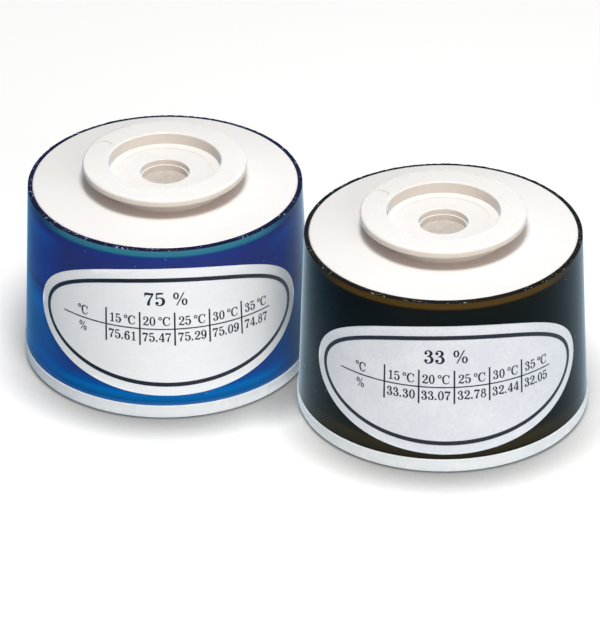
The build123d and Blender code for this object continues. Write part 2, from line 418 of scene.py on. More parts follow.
jacketFinish = {
    "sideFrom": 15.5 * mm,  # how far aside of the axis the side bands begin, and where they are full
    "sideTo": 21 * mm,
    "rimDepth": 0.24 * mm,  # how far down the rim's colour reaches
    "rimFade": 0.08 * mm,
    "rimColour": {"blue": (9, 12, 54), "black": (14, 13, 11)},
    "glintColour": {"blue": (150, 165, 195), "black": (150, 150, 146)},
    "glintScale": 2200,
    "patchScale": 260,
    "rimRoughness": 0.35,  # on top of the wall's own
    "dustColour": (150, 165, 170),
    "dustStrength": 0.5,
}


def bandColours(nodes, links, height, bands):  # a colour ramp whose stops lie at heights in mm
    lowest, highest = bands[0][0], bands[-1][0]
    ramp = nodes.new("ShaderNodeValToRGB")
    links.new(stretchRamp(nodes, links, height, lowest * mm, highest * mm), ramp.inputs["Fac"])
    stops = ramp.color_ramp.elements
    while len(stops) < len(bands):
        stops.new(1.0)
    for stop, (bandHeight, colour) in zip(stops, bands):
        stop.position = (bandHeight - lowest) / (highest - lowest)
        stop.color = paint(*colour)
    return ramp.outputs["Color"]


def jacketMaterial(jar):
    use = jacketFinish
    material, nodes, links, shader, place = newMaterial(jar + "Jacket")
    apart = splitVector(nodes, links, place)

    # The jacket's dye by height, with painted glow where the deck and the base's spigot show through the
    # wall
    colour = bandColours(nodes, links, apart["Z"], dyeAndGlowBands[jar])
    # Painted light: round the sides the jacket is painted lighter, as it reads there under the light
    side = bandColours(nodes, links, apart["Z"], sideDyeAndLightBands[jar])
    aside = mathNode(nodes, links, "SUBTRACT", apart["X"], jarAxis(jar).x)
    aside = mathNode(nodes, links, "ABSOLUTE", aside)
    aside = stretchRamp(nodes, links, aside, use["sideFrom"], use["sideTo"], soft=True)
    colour = mixColours(nodes, links, aside, colour, side)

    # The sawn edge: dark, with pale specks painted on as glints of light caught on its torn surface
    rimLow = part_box(jar + "_jacket")[1].z - use["rimDepth"]
    onRim = stretchRamp(nodes, links, apart["Z"], rimLow, rimLow + use["rimFade"])
    torn = stretchRamp(nodes, links, addNoise(nodes, links, place, use["glintScale"], 3), 0.60, 0.66)
    patch = stretchRamp(nodes, links, addNoise(nodes, links, place, use["patchScale"]), 0.46, 0.58)
    torn = mathNode(nodes, links, "MULTIPLY", torn, patch)
    rimColour = mixColours(
        nodes, links, torn, paint(*use["rimColour"][jar]), paint(*use["glintColour"][jar]))
    colour = mixColours(nodes, links, onRim, colour, rimColour)

    # Dust on the wall
    specks = useGroup(nodes, links, dust, place, Cells=620.0, Size=0.07, Share=0.35).outputs["Mask"]
    specks = mathNode(nodes, links, "MULTIPLY", specks, use["dustStrength"])
    colour = mixColours(nodes, links, specks, colour, paint(*use["dustColour"]))
    links.new(colour, shader.inputs["Base Color"])

    wear = useGroup(nodes, links, handling, place, Clouds=70.0, Hairs=900.0, Roughness=0.16, Change=0.05)
    rough = mathNode(nodes, links, "MULTIPLY", onRim, use["rimRoughness"])
    links.new(mathNode(nodes, links, "ADD", wear.outputs["Roughness"], rough), shader.inputs["Roughness"])
    addBump(nodes, links, shader, wear.outputs["Height"], 0.004 * mm)
    setInputs(shader, {"IOR": 1.4, "Specular IOR Level": 0.1})
    return material


# Decks: white discs let into the rim

deckSettings = {
    "sides": 256,
    "thickness": 1.45 * mm,
    "edgeBreak": 0.15 * mm,
    "skirtRadius": 20.65 * mm,
    "skirtWall": 1.0 * mm,
    "skirtDepth": 3.0 * mm,
    "boreRadius": 9.66 * mm,
    "bossWall": 1.3 * mm,
    "leadIn": 0.2 * mm,
}


def makeDeck(jar):
    use = deckSettings
    axis = jarAxis(jar)
    low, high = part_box(jar + "_top_deck")
    radius = (high.x - low.x) / 2
    under = high.z - use["thickness"]
    bossRadius = use["boreRadius"] + use["bossWall"]
    hollowRadius = use["skirtRadius"] - use["skirtWall"]
    outline = [
        (use["boreRadius"], low.z),
        (bossRadius, low.z),
        (bossRadius, under),
        (hollowRadius, under),
        (hollowRadius, under - use["skirtDepth"]),
        (use["skirtRadius"], under - use["skirtDepth"]),
        (use["skirtRadius"], under),
        (radius, under),
        (radius, high.z - use["edgeBreak"]),
        (radius - use["edgeBreak"], high.z),
        (use["boreRadius"] + use["leadIn"], high.z),
        (use["boreRadius"], high.z - use["leadIn"]),
        (use["boreRadius"], low.z),
    ]
    deck = turnOutline(jar + "Deck", axis, outline, use["sides"])
    closeOutline()
    smooth(deck)
    return deck


# Collars: the plug with its flange, recess and centre hole

collarSettings = {
    "sides": 256,
    "neckRadius": 10.4 * mm,
    "shankRadius": 9.6 * mm,
    "shankHollow": 7.71 * mm,
    "shankLeadIn": 0.5 * mm,
    "grooveRadius": 8.61 * mm,
    "grooveHeight": 3.4 * mm,  # below the deck's top
    "grooveWidth": 1.5 * mm,
    "flangeThickness": 1.22 * mm,
    "flangeTopRound": 0.45 * mm,
    "flangeFootRound": 0.2 * mm,
    "recessRadius": 9.2 * mm,
    "recessDepth": 2.04 * mm,
    "recessRound": 0.3 * mm,
    "floorStepWidth": 1.5 * mm,
    "floorStepHeight": 0.08 * mm,
    "holeRadius": 4.04 * mm,
    "holeStep": 0.22 * mm,
    "holeDepth": 2.1 * mm,
    "holeRound": 0.12 * mm,
    "floorThickness": 1.2 * mm,
    "pocketRadius": 5.5 * mm,
    "pocketWall": 1.0 * mm,
    "pocketDepth": 1.45 * mm,
    "markRadius": 1.45 * mm,
    "markTurn": 153.0,  # degrees from X to the deepest mark
    "markDepths": (0.14 * mm, 0.04 * mm, 0.04 * mm, 0.04 * mm),
}


def makeCollar(jar):
    use = collarSettings
    axis = jarAxis(jar)
    low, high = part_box(jar + "_probe_collar")
    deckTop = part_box(jar + "_top_deck")[1].z
    flangeRadius = (high.x - low.x) / 2
    flangeLow = high.z - use["flangeThickness"]
    recessFloor = high.z - use["recessDepth"]
    innerFloor = recessFloor - use["floorStepHeight"]
    innerRadius = use["recessRadius"] - use["floorStepWidth"]
    holeMiddle = recessFloor - use["holeDepth"] / 2
    holeLow = recessFloor - use["holeDepth"]
    narrowRadius = use["holeRadius"] - use["holeStep"]
    pocketLow = holeLow - use["pocketDepth"]
    grooveTop = deckTop - use["grooveHeight"] + use["grooveWidth"] / 2
    outline = [
        (use["shankHollow"], low.z),
        (use["shankRadius"] - use["shankLeadIn"], low.z),
        (use["shankRadius"], low.z + use["shankLeadIn"]),
        (use["shankRadius"], grooveTop - use["grooveWidth"]),
        (use["grooveRadius"], grooveTop - use["grooveWidth"]),
        (use["grooveRadius"], grooveTop),
        (use["shankRadius"], grooveTop),
        (use["shankRadius"], deckTop),
        (use["neckRadius"], deckTop),
        (use["neckRadius"], flangeLow),
        (flangeRadius, flangeLow),
        (flangeRadius, high.z),
        (use["recessRadius"], high.z),
        (use["recessRadius"], recessFloor),
        (innerRadius, recessFloor),
        (innerRadius, innerFloor),
        (use["holeRadius"], innerFloor),
        (use["holeRadius"], holeMiddle),
        (narrowRadius, holeMiddle),
        (narrowRadius, holeLow),
        (use["pocketRadius"], holeLow),
        (use["pocketRadius"], pocketLow),
        (use["pocketRadius"] + use["pocketWall"], pocketLow),
        (use["pocketRadius"] + use["pocketWall"], recessFloor - use["floorThickness"]),
        (use["shankHollow"], recessFloor - use["floorThickness"]),
        (use["shankHollow"], low.z),
    ]
    collar = turnOutline(jar + "Collar", axis, outline, use["sides"])
    closeOutline()
    roundRing(collar, axis, flangeRadius, high.z, use["flangeTopRound"], 5)
    roundRing(collar, axis, flangeRadius, flangeLow, use["flangeFootRound"], 3)
    roundRing(collar, axis, use["recessRadius"], high.z, use["recessRound"], 4)
    roundRing(collar, axis, use["holeRadius"], innerFloor, use["holeRound"], 3)
    circle = (use["recessRadius"] + flangeRadius) / 2
    for number, depth in enumerate(use["markDepths"]):
        angle = math.radians(use["markTurn"] + number * 360 / len(use["markDepths"]))
        spot = axis + Vector((circle * math.cos(angle), circle * math.sin(angle), high.z))
        pickNothing()
        bpy.ops.mesh.primitive_cylinder_add(
            vertices=64, radius=use["markRadius"], depth=2 * depth, location=spot)
        stamp = bpy.context.object
        press = collar.modifiers.new("mark", "BOOLEAN")
        press.operation = "DIFFERENCE"
        press.solver = "EXACT"
        press.object = stamp
        pickOnly(collar)
        bpy.ops.object.modifier_apply(modifier=press.name)
        bpy.data.objects.remove(stamp)
    smooth(collar)
    return collar


# The upright colour is painted shade, multiplied onto faces that stand upright
whiteSettings = {
    "Deck": {
        "colour": (253, 250, 248), "roughness": 0.34, "glow": 0.12, "reach": 3.4 * mm,
        "cornerShade": (172, 118, 74), "open": 0.8, "uprightShade": (236, 228, 220)},
    "Collar": {
        "colour": (253, 250, 247), "roughness": 0.3, "glow": 0.12, "reach": 3 * mm,
        "cornerShade": (188, 142, 104), "open": 0.5, "uprightShade": (232, 223, 214)},
}
backShadeSettings = {  # painted shade: the whites are a little greyer towards the back left
    "shade": (238, 238, 238),
    "slant": -0.5,
    "from": -12 * mm,
    "to": 26 * mm,
}


def whiteMaterial(part, jar):
    use = whiteSettings[part]
    axis = jarAxis(jar)
    material, nodes, links, shader, place = newMaterial(jar + "White" + part)
    apart = splitVector(nodes, links, place)
    shade = stretchRamp(nodes, links, addNoise(nodes, links, place, 60), 0.35, 0.65)
    colour = mixColours(
        nodes, links, shade, paint(*use["colour"]), paint(*[value - 3 for value in use["colour"]]))
    # Painted shade: the whites are greyed towards the back left, where less light falls
    slant = backShadeSettings["slant"]
    across = mathNode(nodes, links, "MULTIPLY", apart["X"], slant)
    back = mathNode(nodes, links, "ADD", apart["Y"], across)
    middle = axis.y + slant * axis.x
    back = stretchRamp(
        nodes, links, back, middle + backShadeSettings["from"], middle + backShadeSettings["to"], soft=True)
    colour = mixColours(nodes, links, back, colour, mixColours(
        nodes, links, 1.0, colour, paint(*backShadeSettings["shade"]), blend="MULTIPLY"))
    specks = useGroup(nodes, links, dust, place, Cells=420.0, Size=0.035, Share=0.4).outputs["Mask"]
    specks = mathNode(nodes, links, "MULTIPLY", specks, 0.35)
    colour = mixColours(nodes, links, specks, colour, paint(170, 120, 100))
    # Painted shade: faces that stand upright are darkened, as less light falls on them than on the tops
    facing = splitVector(nodes, links, nodes.new("ShaderNodeTexCoord").outputs["Normal"])
    level = stretchRamp(nodes, links, facing["Z"], 0.1, 0.9)
    colour = mixColours(nodes, links, level, mixColours(
        nodes, links, 1.0, colour, paint(*use["uprightShade"]), blend="MULTIPLY"), colour)
    corner = nodes.new("ShaderNodeAmbientOcclusion")
    corner.inputs["Distance"].default_value = use["reach"]
    corner.samples = 8
    openness = stretchRamp(nodes, links, corner.outputs["AO"], 0.05, use["open"])
    colour = mixColours(nodes, links, openness, paint(*use["cornerShade"]), colour)
    links.new(colour, shader.inputs["Base Color"])
    wear = useGroup(
        nodes, links, handling, place, Clouds=120.0, Hairs=800.0, Roughness=use["roughness"], Change=0.05)
    links.new(wear.outputs["Roughness"], shader.inputs["Roughness"])
    addBump(nodes, links, shader, wear.outputs["Height"], 0.004 * mm)
    setInputs(shader, {
        "Subsurface Weight": use["glow"], "Subsurface Radius": (1.0, 0.5, 0.28),
        "Subsurface Scale": 1.6 * mm, "Specular IOR Level": 0.4})
    return material


# Base plates: milky foot bands with a spigot that goes up inside the jacket

baseSettings = {
    "sides": 256,
    "bandHeight": 2.65 * mm,
    "edgeRound": 1.1 * mm,
    "footWidth": 2.2 * mm,
    "recessDepth": 0.9 * mm,
    "dimpleRadius": 1.6 * mm,
    "dimpleDepth": 0.3 * mm,
    "spigotRadius": 22.6 * mm,
    "wellRadius": 20.2 * mm,
    "middle": 0.02 * mm,  # radius at which the turned outline ends, before its hole is filled
    "bandRound": 0.12 * mm,
    "colours": ((247, 249, 249), (234, 239, 241)),
}


def makeBase(jar):
    use = baseSettings
    axis = jarAxis(jar)
    low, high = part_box(jar + "_base_plate")
    radius = (high.x - low.x) / 2
    recessRadius = radius - use["edgeRound"] - use["footWidth"]
    outline = [
        (use["middle"], use["recessDepth"] + use["dimpleDepth"]),
        (use["dimpleRadius"], use["recessDepth"] + use["dimpleDepth"]),
        (use["dimpleRadius"], use["recessDepth"]),
        (recessRadius - use["recessDepth"], use["recessDepth"]),
        (recessRadius, low.z),
        (radius, low.z),
        (radius, use["bandHeight"]),
        (use["spigotRadius"], use["bandHeight"]),
        (use["spigotRadius"], high.z),
        (use["wellRadius"], high.z),
        (use["wellRadius"], use["bandHeight"]),
        (use["middle"], use["bandHeight"]),
    ]
    base = turnOutline(jar + "Base", axis, outline, use["sides"])
    bpy.ops.mesh.select_all(action="SELECT")
    bpy.ops.mesh.fill_holes(sides=0)
    closeOutline()
    roundRing(base, axis, radius, low.z, use["edgeRound"], 8)
    roundRing(base, axis, radius, use["bandHeight"], use["bandRound"], 3)
    smooth(base)
    return base


def baseMaterial():
    material, nodes, links, shader, place = newMaterial("milkyBase")
    shade = stretchRamp(nodes, links, addNoise(nodes, links, place, 150, 4), 0.35, 0.7)
    colour = mixColours(nodes, links, shade, *[paint(*tone) for tone in baseSettings["colours"]])
    links.new(colour, shader.inputs["Base Color"])
    wear = useGroup(nodes, links, handling, place, Clouds=160.0, Hairs=900.0, Roughness=0.3, Change=0.08)
    links.new(wear.outputs["Roughness"], shader.inputs["Roughness"])
    addBump(nodes, links, shader, wear.outputs["Height"], 0.008 * mm)
    setInputs(shader, {
        "Subsurface Weight": 0.5, "Subsurface Radius": (1.0, 0.9, 0.8), "Subsurface Scale": 1.2 * mm})
    return material


# Labels: oval silver stickers bent round the jackets, with a table of numbers printed on them

labelSettings = {
    "halfWidth": 25.2 * mm,
    "halfHeight": 11.75 * mm,
    "sides": 240,
    "rings": 16,  # of faces, from the edge to the middle
    "middle": 0.002,  # share of the oval that is filled by one face
    "thickness": 0.12 * mm,
    "bond": 0.012 * mm,
    "inkThickness": 0.02 * mm,
    "borderInset": 1.7 * mm,
    "borderWidth": 0.74 * mm,
    "turn": {"black": 1.4, "blue": 2.4},
    "height": {"black": 15.35 * mm, "blue": 16.3 * mm},
    "title": {"black": "33  %", "blue": "75  %"},
    "titlePlace": (-0.6 * mm, 5.0 * mm),
    "titleHeight": 2.35 * mm,
    "titleSqueeze": 1.12,
    "rulePlaces": (-10.75, -5.0, 0.7, 6.45, 12.15),  # these and the columns are in mm
    "ruleTop": 3.7 * mm,
    "ruleFoot": -2.4 * mm,
    "ruleWidth": 0.27 * mm,
    "lineHeight": 0.64 * mm,
    "lineWidth": 0.2 * mm,
    "lineEnds": (-19.2 * mm, 18.0 * mm),
    "columns": (-7.9, -2.2, 3.6, 9.3, 15.1),
    "headerColumn": -15.1,
    "textHeight": 1.6 * mm,
    "textSqueeze": 0.98,
    "rowFeet": (1.3 * mm, -1.67 * mm),
    "headers": ("°C", "%"),
    "temperatures": ("15 °C", "20 °C", "25 °C", "30 °C", "35 °C"),
    "humidities": {
        "black": ("33.30", "33.07", "32.78", "32.44", "32.05"),
        "blue": ("75.61", "75.47", "75.29", "75.09", "74.87"),
    },
}

# The printed letters, in hundredths of their height: pen strokes as (x, z, width), dots as
# (x, z, radius), and rings as the place of the middle, the outer half sizes and the inner ones.
letterShapes = {
    "0": {"rings": [(31, 50, 29, 51, 15, 46)]},
    "1": {"strokes": [
        [(34, 0, 13), (34, 100, 13)],
        [(13, 2.5, 5), (55, 2.5, 5)],
        [(37, 98.5, 5), (25, 87, 7), (12, 84, 5)]]},
    "2": {"dots": [(13.5, 74, 8.5)], "strokes": [
        [(6.5, 72, 3), (9, 88, 5), (22, 98, 5.5), (37, 96.5, 7), (49, 86, 13),
         (50, 70, 15), (42, 52, 12), (26, 34, 7), (10, 16, 5), (5, 3, 5)],
        [(5, 9, 13), (20, 10.5, 12), (36, 6.5, 13), (50, 7, 12), (57, 13, 6), (58.5, 23, 3)]]},
    "3": {"dots": [(12.5, 77, 8), (12.5, 21, 9)], "strokes": [
        [(6, 76, 3), (11, 90, 4.5), (25, 98, 5), (38, 94, 9), (45, 79, 15),
         (40, 63, 11), (29, 55, 5.5), (20, 54, 4.5)],
        [(20, 54, 4.5), (33, 53.5, 5.5), (46, 45, 11), (51, 28, 16), (45, 10, 12),
         (31, 2, 5), (16, 3.5, 4.5), (6, 16, 4)]]},
    "4": {"strokes": [
        [(42, 100, 13), (42, 0, 13)],
        [(25, 2.5, 5), (59, 2.5, 5)],
        [(41, 100, 5), (3, 28, 5)],
        [(1, 27, 7), (61, 27, 7)]]},
    "5": {"dots": [(12.5, 21, 9)], "strokes": [
        [(10, 93, 12), (27, 94.5, 11), (42, 95, 9), (51, 100, 3)],
        [(10.5, 98, 4.5), (8.5, 50, 4.5)],
        [(9, 52, 3), (20, 60, 5), (34, 61, 7), (48, 53, 12), (53, 33, 16),
         (47, 12, 12), (32, 2, 5), (17, 3.5, 4.5), (6, 16, 4)]]},
    "6": {"rings": [(32, 31.5, 27.5, 32.5, 13.5, 27.5)], "dots": [(48.5, 84, 8)], "strokes": [
        [(53, 88, 3), (47, 96, 5), (35, 98, 5.5), (20, 86, 11), (11.5, 62, 14), (11.5, 32, 14)]]},
    "7": {"strokes": [
        [(5, 89, 17), (20, 92, 15), (38, 89, 14), (57, 92, 12)],
        [(5.5, 100, 4), (5, 70, 3)],
        [(57.5, 93, 6), (45, 68, 6.5), (34, 44, 9), (28, 20, 14), (27, 0, 15)]]},
    "8": {"rings": [(31, 75, 22, 26, 11, 21), (31, 27.5, 27, 28.5, 15, 23.5)]},
    "C": {"strokes": [
        [(72, 66, 4), (63, 89, 5), (45, 98.5, 5.5), (24, 90, 11), (11, 68, 15.5),
         (10, 42, 15.5), (19, 14, 12), (41, 1.5, 5.5), (63, 8, 4.5), (74, 28, 4)],
        [(72, 100, 4.5), (72, 64, 4.5)]]},
    "%": {"rings": [(19, 75, 17, 25, 8.5, 21), (71, 25, 17, 25, 8.5, 21)],
          "strokes": [[(68, 100, 4.5), (22, 0, 4.5)]]},
    "°": {"rings": [(21, 82, 18, 18.5, 11, 11.5)]},
    ".": {"dots": [(11, 8.5, 8.5)]},
}
inkSpread = 0.016  # past the letters' edges, a share of their height as the widths are
letterWidths = {".": 0.34, "°": 0.46, "C": 0.86, "%": 0.96, " ": 0.22}
digitWidth = 0.68
digitBody = 0.62  # a digit without the space after it; a 9 is a 6 turned round in it


def flatOval(name, halfWidth, halfHeight, rings, sides):  # an oval sheet of rings, in the XZ plane
    pickNothing()
    bpy.ops.mesh.primitive_circle_add(vertices=sides, radius=1.0, fill_type="NOTHING")
    oval = bpy.context.object
    oval.name = name
    bpy.ops.object.mode_set(mode="EDIT")
    size = (1.0, 1.0)
    for ring in rings:
        bpy.ops.mesh.extrude_region_move(TRANSFORM_OT_translate={"value": (0, 0, 0)})
        scale = (ring[0] / size[0], ring[1] / size[1], 1)
        bpy.ops.transform.resize(value=scale, center_override=(0, 0, 0))
        size = ring
    bpy.ops.object.mode_set(mode="OBJECT")
    oval.scale = (halfWidth, halfHeight, 1)
    oval.rotation_euler = (math.pi / 2, 0, 0)
    bpy.ops.object.transform_apply()
    return oval


def flatStrip(name, left, right, foot, top, steps):
    pickNothing()
    bpy.ops.mesh.primitive_grid_add(
        x_subdivisions=steps, y_subdivisions=1, size=1,
        location=((left + right) / 2, 0, (foot + top) / 2), rotation=(math.pi / 2, 0, 0))
    strip = bpy.context.object
    strip.name = name
    strip.scale = (right - left, top - foot, 1)
    bpy.ops.object.transform_apply()
    return strip


def flatCurve(outline):  # a filled curve, made a mesh and stood up in the XZ plane
    curve = bpy.data.curves.new("stroke", "CURVE")
    curve.dimensions = "2D"
    curve.fill_mode = "BOTH"
    spline = curve.splines.new("POLY")
    spline.points.add(len(outline) - 1)
    for point, (x, z) in zip(spline.points, outline):
        point.co = (x, z, 0, 1)
    spline.use_cyclic_u = True
    stroke = bpy.data.objects.new("stroke", curve)
    bpy.context.collection.objects.link(stroke)
    pickOnly(stroke)
    bpy.ops.object.convert(target="MESH")
    stroke = bpy.context.object
    stroke.rotation_euler = (math.pi / 2, 0, 0)
    bpy.ops.object.transform_apply()
    return stroke


def penStroke(points, steps=5):  # the outline of a pen's path, which runs smoothly through its points
    path = points
    if len(points) > 2:
        path = []
        through = [points[0]] + points + [points[-1]]
        for a, b, c, d in zip(through, through[1:], through[2:], through[3:]):
            for step in range(steps):
                t = step / steps
                path.append([
                    q + (r - p) * t / 2 + (2 * p - 5 * q + 4 * r - s) * t ** 2 / 2
                    + (3 * q - p - 3 * r + s) * t ** 3 / 2
                    for p, q, r, s in zip(a, b, c, d)])
        path.append(points[-1])
    left, right = [], []
    for number, (x, z, width) in enumerate(path):
        width += 2 * inkSpread
        before, after = path[max(number - 1, 0)], path[min(number + 1, len(path) - 1)]
        run, rise = after[0] - before[0], after[1] - before[1]
        half = width / 2 / math.hypot(run, rise)
        left.append((x - rise * half, z + run * half))
        right.append((x + rise * half, z - run * half))
    return left + right[::-1]


def joinPieces(pieces):
    pickNothing()
    for piece in pieces:
        piece.select_set(True)
    bpy.context.view_layer.objects.active = pieces[0]
    bpy.ops.object.join()
    return pieces[0]


def makeLetter(shape):
    def shares(rows):  # hundredths as shares of the letter's height
        return [[value / 100 for value in row] for row in rows]

    parts = [flatCurve(penStroke(shares(points))) for points in shape.get("strokes", ())]
    rounds = [(x, z, (wide + inkSpread, high + inkSpread), (holeWide - inkSpread, holeHigh - inkSpread))
              for x, z, wide, high, holeWide, holeHigh in shares(shape.get("rings", ()))]
    rounds += [(x, z, (r + inkSpread, r + inkSpread), (0.01 * r, 0.01 * r))
               for x, z, r in shares(shape.get("dots", ()))]
    for x, z, outer, hole in rounds:
        part = flatOval("ring", *outer, [(hole[0] / outer[0], hole[1] / outer[1])], sides=32)
        part.location = (x, 0, z)
        bpy.ops.object.transform_apply()
        parts.append(part)
    return joinPieces(parts)


def flatText(letters, body, across, foot, capHeight, squeeze):  # copies of the letters, side by side
    widths = [letterWidths.get(letter, digitWidth) for letter in body]
    start = across - sum(widths) * capHeight * squeeze / 2
    copies = []
    for letter, width in zip(body, widths):
        if letter != " ":
            copy = letters["6" if letter == "9" else letter].copy()
            copy.data = copy.data.copy()
            bpy.context.collection.objects.link(copy)
            pickOnly(copy)
            turned = -1 if letter == "9" else 1
            copy.scale = (turned * squeeze * capHeight, 1, turned * capHeight)
            copy.location = (start, 0, foot)
            if letter == "9":
                copy.location = (start + digitBody * squeeze * capHeight, 0, foot + capHeight)
            bpy.ops.object.transform_apply()
            copies.append(copy)
        start += width * capHeight * squeeze
    return copies


def faceFront(sheet):  # turns over the faces of a flat sheet that look backwards
    pickOnly(sheet)
    bpy.ops.object.mode_set(mode="EDIT")
    bpy.ops.mesh.select_mode(type="FACE")
    bpy.ops.mesh.select_all(action="DESELECT")
    bpy.ops.object.mode_set(mode="OBJECT")
    for face in sheet.data.polygons:
        face.select = face.normal.y > 0
    bpy.ops.object.mode_set(mode="EDIT")
    bpy.ops.mesh.flip_normals()
    bpy.ops.mesh.select_mode(type="VERT")
    bpy.ops.object.mode_set(mode="OBJECT")


def bendRound(sheet, jacket, jar, offset, thickness):  # a flat sheet, bent round the jacket and thickened
    use = labelSettings
    axis = jarAxis(jar)
    low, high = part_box(jar + "_jacket")
    share = (use["height"][jar] - low.z) / (high.z - low.z)
    bendRadius = (high.x - low.x) / 2 - share * jacketSettings["taper"]
    faceFront(sheet)
    pickOnly(sheet)
    across = [corner.co.x for corner in sheet.data.vertices]
    bend = sheet.modifiers.new("bend", "SIMPLE_DEFORM")
    bend.deform_method = "BEND"
    bend.deform_axis = "Z"
    bend.angle = (max(across) - min(across)) / bendRadius
    bpy.ops.object.modifier_apply(modifier=bend.name)
    place = Matrix.Translation(axis + Vector((0, 0, use["height"][jar])))
    place = place @ Matrix.Rotation(math.radians(use["turn"][jar]), 4, "Z")
    sheet.matrix_world = place @ Matrix.Translation(Vector((0, -bendRadius, 0)))
    bpy.ops.object.transform_apply()
    press = sheet.modifiers.new("press", "SHRINKWRAP")
    press.target = jacket
    press.wrap_method = "NEAREST_SURFACEPOINT"
    press.wrap_mode = "ABOVE_SURFACE"
    press.offset = offset
    bpy.ops.object.modifier_apply(modifier=press.name)
    thicken = sheet.modifiers.new("thicken", "SOLIDIFY")
    thicken.thickness = thickness
    thicken.offset = 1
    bpy.ops.object.modifier_apply(modifier=thicken.name)
    smooth(sheet)


def makeLabel(jar, jacket):
    use = labelSettings
    count = use["rings"]
    shares = [(count - ring) / count for ring in range(1, count)] + [use["middle"]]
    rings = [(share, share) for share in shares]
    label = flatOval(jar + "Label", use["halfWidth"], use["halfHeight"], rings, use["sides"])
    bpy.ops.object.mode_set(mode="EDIT")
    bpy.ops.mesh.select_all(action="SELECT")
    bpy.ops.mesh.fill_holes(sides=0)
    bpy.ops.object.mode_set(mode="OBJECT")
    bendRound(label, jacket, jar, use["bond"], use["thickness"])
    return label


def makePrint(jar, jacket, letters):
    use = labelSettings
    outer = (use["halfWidth"] - use["borderInset"], use["halfHeight"] - use["borderInset"])
    inner = (outer[0] - use["borderWidth"], outer[1] - use["borderWidth"])
    border = flatOval(
        jar + "Print", outer[0], outer[1], [(inner[0] / outer[0], inner[1] / outer[1])], use["sides"])
    parts = [border]
    half = use["ruleWidth"] / 2
    for place in use["rulePlaces"]:
        left, right = place * mm - half, place * mm + half
        parts.append(flatStrip("rule", left, right, use["ruleFoot"], use["ruleTop"], steps=2))
    foot, top = use["lineHeight"] - use["lineWidth"] / 2, use["lineHeight"] + use["lineWidth"] / 2
    parts.append(flatStrip("line", *use["lineEnds"], foot, top, steps=80))
    parts += flatText(
        letters, use["title"][jar], *use["titlePlace"], use["titleHeight"], use["titleSqueeze"])
    rows = (
        (use["headers"][0],) + use["temperatures"],
        (use["headers"][1],) + use["humidities"][jar],
    )
    for row, foot in zip(rows, use["rowFeet"]):
        for body, across in zip(row, (use["headerColumn"],) + use["columns"]):
            parts += flatText(letters, body, across * mm, foot, use["textHeight"], use["textSqueeze"])
    joinPieces(parts)
    bendRound(border, jacket, jar, use["bond"] + use["thickness"], use["inkThickness"])
    return border


# The same silver label on both jars; the black jar's copy is painted darker, as painted shade
labelLitAndShadedTones = {
    "black": ((232, 235, 240), (242, 244, 248)),
    "blue": ((250, 252, 254), (255, 255, 255)),
}


def labelMaterial(jar):
    material, nodes, links, shader, place = newMaterial(jar + "SilverLabel")
    grain = addNoise(nodes, links, place, 1800, 3)
    clouds = addNoise(nodes, links, place, 180)
    shade = stretchRamp(nodes, links, mathNode(nodes, links, "ADD", grain, clouds), 0.8, 1.2)
    colour = mixColours(nodes, links, shade, *[paint(*tone) for tone in labelLitAndShadedTones[jar]])
    links.new(colour, shader.inputs["Base Color"])
    links.new(stretchRamp(nodes, links, grain, 0.3, 0.7, 0.34, 0.46), shader.inputs["Roughness"])
    shader.inputs["Metallic"].default_value = 0.04
    addBump(nodes, links, shader, grain, 0.003 * mm)
    return material


def inkMaterial():
    material, nodes, links, shader, place = newMaterial("printInk")
    grain = addNoise(nodes, links, place, 1500)
    shade = stretchRamp(nodes, links, grain, 0.35, 0.7)
    colour = mixColours(nodes, links, shade, paint(8, 6, 16), paint(18, 14, 34))
    links.new(colour, shader.inputs["Base Color"])
    links.new(stretchRamp(nodes, links, grain, 0.3, 0.7, 0.4, 0.55), shader.inputs["Roughness"])
    return material


# Inner pieces, seen only when a collar is pulled or through the centre hole

def plainMaterial(name, light, dark, scale, roughness, height, glow=0.0):
    material, nodes, links, shader, place = newMaterial(name)
    grain = addNoise(nodes, links, place, scale, 5)
    shade = stretchRamp(nodes, links, grain, 0.35, 0.7)
    links.new(mixColours(nodes, links, shade, paint(*light), paint(*dark)), shader.inputs["Base Color"])
    rough = stretchRamp(nodes, links, grain, 0.3, 0.7, roughness - 0.05, roughness + 0.1)
    links.new(rough, shader.inputs["Roughness"])
    addBump(nodes, links, shader, grain, height)
    setInputs(shader, {"Subsurface Weight": glow, "Subsurface Scale": 1.0 * mm})
    return material


innerFinishes = {
    "vapour_membrane": plainMaterial(
        "membraneFelt", (205, 196, 188), (191, 182, 174), 900, 0.7, 0.01 * mm),
    "membrane_retainer": plainMaterial(
        "potPlastic", (226, 228, 226), (214, 217, 216), 200, 0.4, 0.005 * mm),
    "salt_bed": plainMaterial("dampSalt", (240, 240, 236), (205, 206, 200), 1400, 0.45, 0.15 * mm, 0.3),
    "collar_seal": plainMaterial("sealRubber", (26, 26, 26), (16, 16, 16), 700, 0.5, 0.01 * mm),
}
innerFinishes["salt_pot"] = innerFinishes["membrane_retainer"]
innerFinishes["deck_seal"] = innerFinishes["collar_seal"]
innerFinishes["base_seal"] = innerFinishes["collar_seal"]


def finishNode(node, material):
    frame["nodes"][node].data.materials.clear()
    frame["nodes"][node].data.materials.append(material)


def placePiece(piece, material, body, node=None):
    piece.data.materials.clear()
    piece.data.materials.append(material)
    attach(piece, body)
    if node:
        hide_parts(node)


milky = baseMaterial()
ink = inkMaterial()

